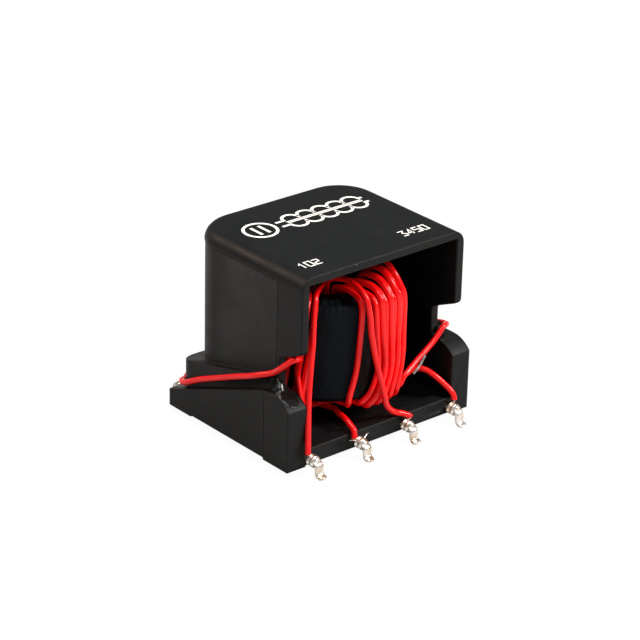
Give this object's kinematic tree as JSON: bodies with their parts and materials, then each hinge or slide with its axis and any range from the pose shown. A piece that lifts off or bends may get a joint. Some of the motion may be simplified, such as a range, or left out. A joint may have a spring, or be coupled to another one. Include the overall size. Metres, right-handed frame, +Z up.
{
  "type": "pcb transformer",
  "caption": "Surface-mount isolation transformer: a wound toroid inside an open-fronted moulded case on gull-wing leads.",
  "frame": {"origin": "on the board, midway between the front and rear feet and midway across the part", "axes": "+X to the right seen from the open front, +Y from the open front to the rear, +Z up from the board"},
  "size_m": [0.0148, 0.0152, 0.0128],
  "materials": {
    "case": "fine matt moulded black",
    "core": "dark grey coated ferrite with a smear of varnish",
    "wire": "glossy red insulation, bare copper at the ends",
    "lead": "bright tin over copper alloy",
    "solder": "bright solder",
    "adhesive": "glossy black epoxy"
  },
  "bodies": {
    "root": {"case": "case", "core": "core", "front_left_winding": "wire", "front_right_winding": "wire", "rear_winding": "wire", "front_lead_1": "lead", "front_lead_2": "lead", "front_lead_3": "lead", "front_lead_4": "lead", "rear_lead_1": "lead", "rear_lead_2": "lead", "rear_lead_3": "lead", "rear_lead_4": "lead", "front_joint_1": "solder", "front_joint_2": "solder", "front_joint_3": "solder", "front_joint_4": "solder", "rear_joint_1": "solder", "rear_joint_4": "solder", "core_bond": "adhesive", "left_wire_bond": "adhesive", "right_wire_bond": "adhesive"}
  },
  "joints": []
}
